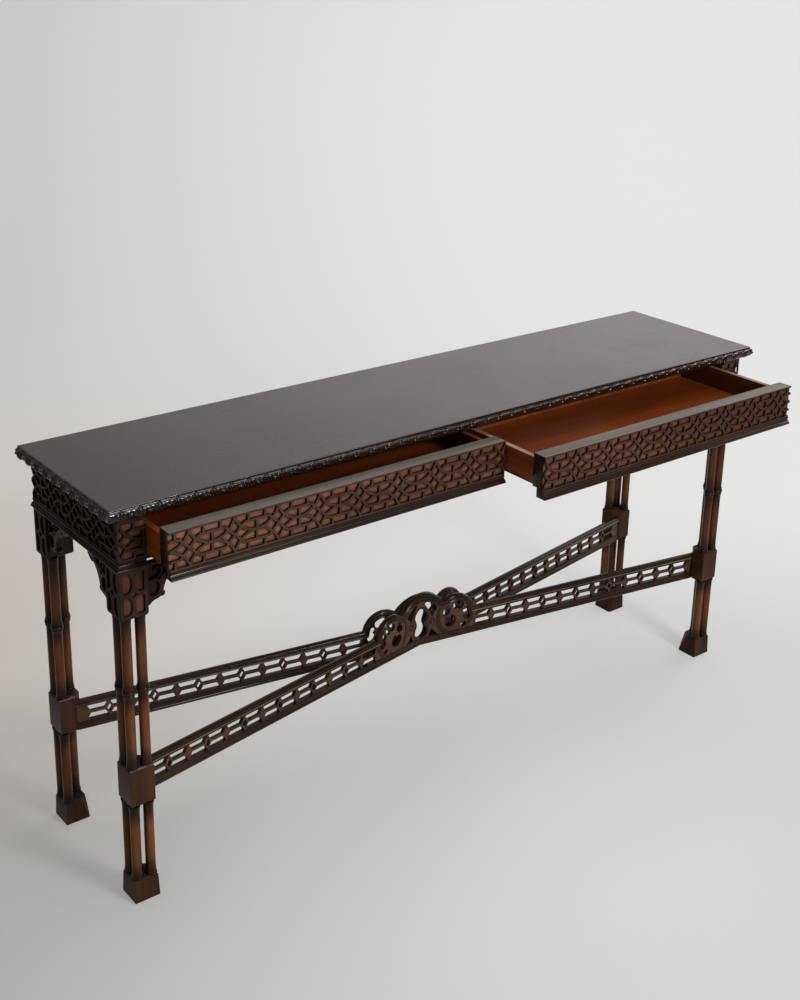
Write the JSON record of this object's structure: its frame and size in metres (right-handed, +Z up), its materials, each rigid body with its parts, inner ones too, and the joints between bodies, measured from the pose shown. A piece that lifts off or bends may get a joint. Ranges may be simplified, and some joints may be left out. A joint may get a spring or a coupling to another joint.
{
  "type": "pier table",
  "caption": "Long narrow side table with drawers in a blind-fret frieze, clustered column legs, pierced brackets and a pierced cross stretcher.",
  "frame": {"origin": "on the floor, in the middle of the box the table fills with its drawers drawn out as modelled", "axes": "+X along the front to the viewer's right, +Y towards the back, +Z up"},
  "size_m": [1.649, 0.551, 0.8],
  "materials": {
    "top_mahogany": "dark polished mahogany, smooth and reflective",
    "dark_mahogany": "dark polished mahogany",
    "carved_mahogany": "dark carved mahogany, waxed",
    "fret_mahogany": "dark fret-cut mahogany, satin",
    "frieze_ground": "red-brown mahogany, satin",
    "drawer_lining": "orange-red mahogany, smooth",
    "secondary_wood": "unpolished brown wood"
  },
  "bodies": {
    "carcass": {"back_rail": "secondary_wood", "centre_partition": "secondary_wood", "drawer_guides": "secondary_wood", "drawer_kickers": "secondary_wood", "drawer_runners": "secondary_wood", "end_fret_left": "fret_mahogany", "end_fret_right": "fret_mahogany", "end_rail_left": "frieze_ground", "end_rail_right": "frieze_ground", "front_bottom_rail": "dark_mahogany", "front_top_rail": "dark_mahogany", "glue_blocks": "secondary_wood", "leg_back_left_block": "dark_mahogany", "leg_back_left_brackets": "dark_mahogany", "leg_back_left_columns": "dark_mahogany", "leg_back_left_foot": "dark_mahogany", "leg_back_left_frets": "fret_mahogany", "leg_back_left_post": "frieze_ground", "leg_back_right_block": "dark_mahogany", "leg_back_right_brackets": "dark_mahogany", "leg_back_right_columns": "dark_mahogany", "leg_back_right_foot": "dark_mahogany", "leg_back_right_frets": "fret_mahogany", "leg_back_right_post": "frieze_ground", "leg_front_left_block": "dark_mahogany", "leg_front_left_brackets": "dark_mahogany", "leg_front_left_columns": "dark_mahogany", "leg_front_left_foot": "dark_mahogany", "leg_front_left_frets": "fret_mahogany", "leg_front_left_post": "frieze_ground", "leg_front_right_block": "dark_mahogany", "leg_front_right_brackets": "dark_mahogany", "leg_front_right_columns": "dark_mahogany", "leg_front_right_foot": "dark_mahogany", "leg_front_right_frets": "fret_mahogany", "leg_front_right_post": "frieze_ground", "stretcher_front_left": "dark_mahogany", "stretcher_front_right": "dark_mahogany", "stretcher_rear_left": "dark_mahogany", "stretcher_rear_right": "dark_mahogany", "top_board": "top_mahogany", "top_moulding_front": "carved_mahogany", "top_moulding_left": "carved_mahogany", "top_moulding_right": "carved_mahogany", "waist_moulding_left": "dark_mahogany", "waist_moulding_right": "dark_mahogany"},
    "left_drawer": {"drawer_left_back": "drawer_lining", "drawer_left_bottom": "drawer_lining", "drawer_left_fret": "fret_mahogany", "drawer_left_front": "frieze_ground", "drawer_left_moulding": "dark_mahogany", "drawer_left_side_inner": "drawer_lining", "drawer_left_side_outer": "drawer_lining"},
    "right_drawer": {"drawer_right_back": "drawer_lining", "drawer_right_bottom": "drawer_lining", "drawer_right_fret": "fret_mahogany", "drawer_right_front": "frieze_ground", "drawer_right_moulding": "dark_mahogany", "drawer_right_side_inner": "drawer_lining", "drawer_right_side_outer": "drawer_lining"}
  },
  "joints": [
    {"name": "left_drawer_slide", "type": "slide", "parent": "carcass", "child": "left_drawer", "axis": [0, -1, 0], "range_m": [-0.08, 0.15]},
    {"name": "right_drawer_slide", "type": "slide", "parent": "carcass", "child": "right_drawer", "axis": [0, -1, 0], "range_m": [-0.19, 0.04]}
  ]
}
